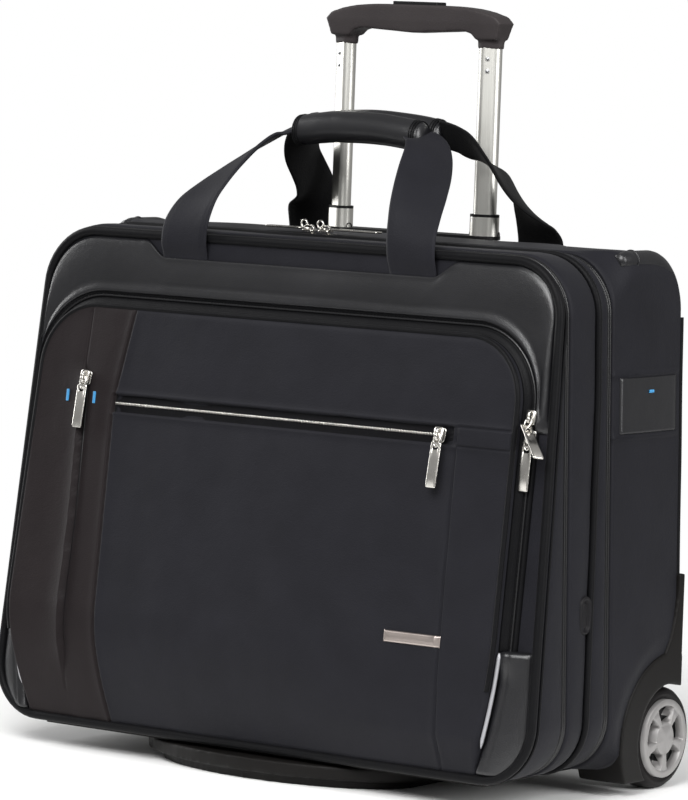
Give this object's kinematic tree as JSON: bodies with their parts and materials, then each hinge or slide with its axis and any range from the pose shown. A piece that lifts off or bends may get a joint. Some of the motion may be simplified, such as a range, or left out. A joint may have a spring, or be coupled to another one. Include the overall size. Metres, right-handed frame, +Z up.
{
  "type": "rolling laptop case",
  "caption": "Soft wheeled case with front, laptop and main compartments, two-stage trolley handle, paired padded carry handles and a front skid foot.",
  "frame": {"origin": "centre of the footprint on the floor", "axes": "+X to the right seen from the front, -Y out of the front, +Z up"},
  "size_m": [0.458, 0.2255, 0.5317],
  "materials": {
    "nylon": "woven ballistic nylon, satin",
    "lining": "padded lining",
    "leather": "smooth synthetic leather, satin",
    "webbing": "woven webbing, matte",
    "plastic": "moulded, fine texture",
    "tube": "satin anodised",
    "grip_plastic": "soft-touch, satin",
    "metal": "nickel plated zinc, satin",
    "badge": "warm nickel, satin",
    "tyre": "solid polyurethane, matte",
    "hubcap": "silver painted, satin",
    "zip": "woven tape with coil",
    "reflective": "grey reflective piping",
    "steel": "zinc plated",
    "board": "polyethylene board"
  },
  "bodies": {
    "case": {"rear_shell": "nylon", "back_board": "board", "base_tray": "plastic", "skid_foot": "plastic", "wheel_housing_left": "plastic", "wheel_housing_right": "plastic", "axles": "steel", "base_screws": "steel", "outer_tubes": "tube", "tube_base": "plastic", "trolley_bezel": "plastic", "corner_guards": "leather", "side_bands": "leather", "main_zip_rear": "zip"},
    "laptop_section": {"laptop_shell": "nylon", "divider_pad": "lining", "usb_port": "plastic", "main_zip_front": "zip", "laptop_zip_rear": "zip"},
    "front_section": {"front_shell": "nylon", "organizer_pocket": "nylon", "yoke": "leather", "corner_patches": "leather", "reflective_piping": "reflective", "badge": "badge", "organizer_zip": "zip", "cross_zip": "zip", "vertical_zip": "zip", "front_piping": "leather"},
    "middle_stage": {"middle_tube_left": "tube", "middle_tube_right": "tube", "middle_collars": "plastic"},
    "inner_stage": {"inner_tube_left": "tube", "inner_tube_right": "tube", "lock_feet": "plastic", "trolley_grip": "grip_plastic"},
    "button": {"release_button": "grip_plastic", "push_rods": "steel"},
    "front_handle": {"front_webbing": "webbing", "front_grip": "leather"},
    "rear_handle": {"rear_webbing": "webbing", "rear_grip": "leather"},
    "wheel_left": {"tyre_left": "tyre", "rim_left": "hubcap"},
    "wheel_right": {"tyre_right": "tyre", "rim_right": "hubcap"},
    "main_slider_left": {"main_slider_left": "metal"},
    "main_slider_right": {"main_slider_right": "metal"},
    "pocket_slider_upper": {"pocket_slider_upper": "metal"},
    "pocket_slider_lower": {"pocket_slider_lower": "metal"},
    "cross_slider": {"cross_slider": "metal"},
    "vertical_slider": {"vertical_slider": "metal"},
    "main_pull_left": {"main_pull_left": "metal"},
    "main_pull_right": {"main_pull_right": "metal"},
    "pocket_pull_upper": {"pocket_pull_upper": "metal"},
    "pocket_pull_lower": {"pocket_pull_lower": "metal"},
    "cross_pull": {"cross_pull": "metal"},
    "vertical_pull": {"vertical_pull": "metal"}
  },
  "joints": [
    {"name": "laptop_section_open", "type": "hinge", "parent": "case", "child": "laptop_section", "pos_m": [0, -0.0955, 0.0225], "axis": [1, 0, 0], "range_deg": [0, 30]},
    {"name": "front_section_open", "type": "hinge", "parent": "laptop_section", "child": "front_section", "pos_m": [0, -0.0955, 0.0225], "axis": [1, 0, 0], "range_deg": [0, 30]},
    {"name": "middle_slide", "type": "slide", "parent": "case", "child": "middle_stage", "axis": [0, 0, 1], "range_m": [-0.012, 0.266]},
    {"name": "inner_slide", "type": "slide", "parent": "middle_stage", "child": "inner_stage", "axis": [0, 0, 1], "range_m": [-0.113, 0.145]},
    {"name": "button_press", "type": "slide", "parent": "inner_stage", "child": "button", "axis": [0, 0, 1], "range_m": [-0.002, 0], "stiffness_N_per_m": 1500, "springref_m": 0.001},
    {"name": "wheel_left_spin", "type": "hinge", "parent": "case", "child": "wheel_left", "pos_m": [-0.211, 0.0775, 0.035], "axis": [1, 0, 0], "continuous": true},
    {"name": "wheel_right_spin", "type": "hinge", "parent": "case", "child": "wheel_right", "pos_m": [0.211, 0.0775, 0.035], "axis": [1, 0, 0], "continuous": true},
    {"name": "front_handle_swing", "type": "hinge", "parent": "front_section", "child": "front_handle", "pos_m": [0, -0.067, 0.351], "axis": [1, 0, 0], "range_deg": [0, 110]},
    {"name": "rear_handle_swing", "type": "hinge", "parent": "case", "child": "rear_handle", "pos_m": [0, 0.0881, 0.36], "axis": [1, 0, 0], "range_deg": [-8, 0]},
    {"name": "main_slider_left_travel", "type": "slide", "parent": "case", "child": "main_slider_left", "axis": [-1, 0, 0], "range_m": [0, 0.115]},
    {"name": "main_slider_right_travel", "type": "slide", "parent": "case", "child": "main_slider_right", "axis": [1, 0, 0], "range_m": [0, 0.13]},
    {"name": "main_pull_left_swing", "type": "hinge", "parent": "main_slider_left", "child": "main_pull_left", "pos_m": [-0.0346, -0.003, 0.3718], "axis": [0, 1, 0], "range_deg": [0, 150]},
    {"name": "main_pull_right_swing", "type": "hinge", "parent": "main_slider_right", "child": "main_pull_right", "pos_m": [-0.0194, -0.003, 0.3718], "axis": [0, 1, 0], "range_deg": [-150, 0]},
    {"name": "pocket_slider_upper_travel", "type": "slide", "parent": "front_section", "child": "pocket_slider_upper", "axis": [0, 0.1094, 0.994], "range_m": [0, 0.02]},
    {"name": "pocket_slider_lower_travel", "type": "slide", "parent": "front_section", "child": "pocket_slider_lower", "axis": [0, 0.1094, 0.994], "range_m": [-0.1, 0]},
    {"name": "pocket_pull_upper_swing", "type": "hinge", "parent": "pocket_slider_upper", "child": "pocket_pull_upper", "pos_m": [0.205, -0.07666, 0.26087], "axis": [1, 0, 0], "range_deg": [-120, 0]},
    {"name": "pocket_pull_lower_swing", "type": "hinge", "parent": "pocket_slider_lower", "child": "pocket_pull_lower", "pos_m": [0.205, -0.07808, 0.24795], "axis": [1, 0, 0], "range_deg": [-15, 0]},
    {"name": "cross_slider_travel", "type": "slide", "parent": "front_section", "child": "cross_slider", "axis": [-1, 0, 0], "range_m": [0, 0.26]},
    {"name": "cross_pull_swing", "type": "hinge", "parent": "cross_slider", "child": "cross_pull", "pos_m": [0.142, -0.09122, 0.24569], "axis": [1, 0, 0], "range_deg": [-150, 0]},
    {"name": "vertical_slider_travel", "type": "slide", "parent": "front_section", "child": "vertical_slider", "axis": [0, 0.1794, 0.9838], "range_m": [-0.13, 0]},
    {"name": "vertical_pull_swing", "type": "hinge", "parent": "vertical_slider", "child": "vertical_pull", "pos_m": [-0.163, -0.08835, 0.26148], "axis": [1, 0, 0], "range_deg": [-150, 0]}
  ]
}
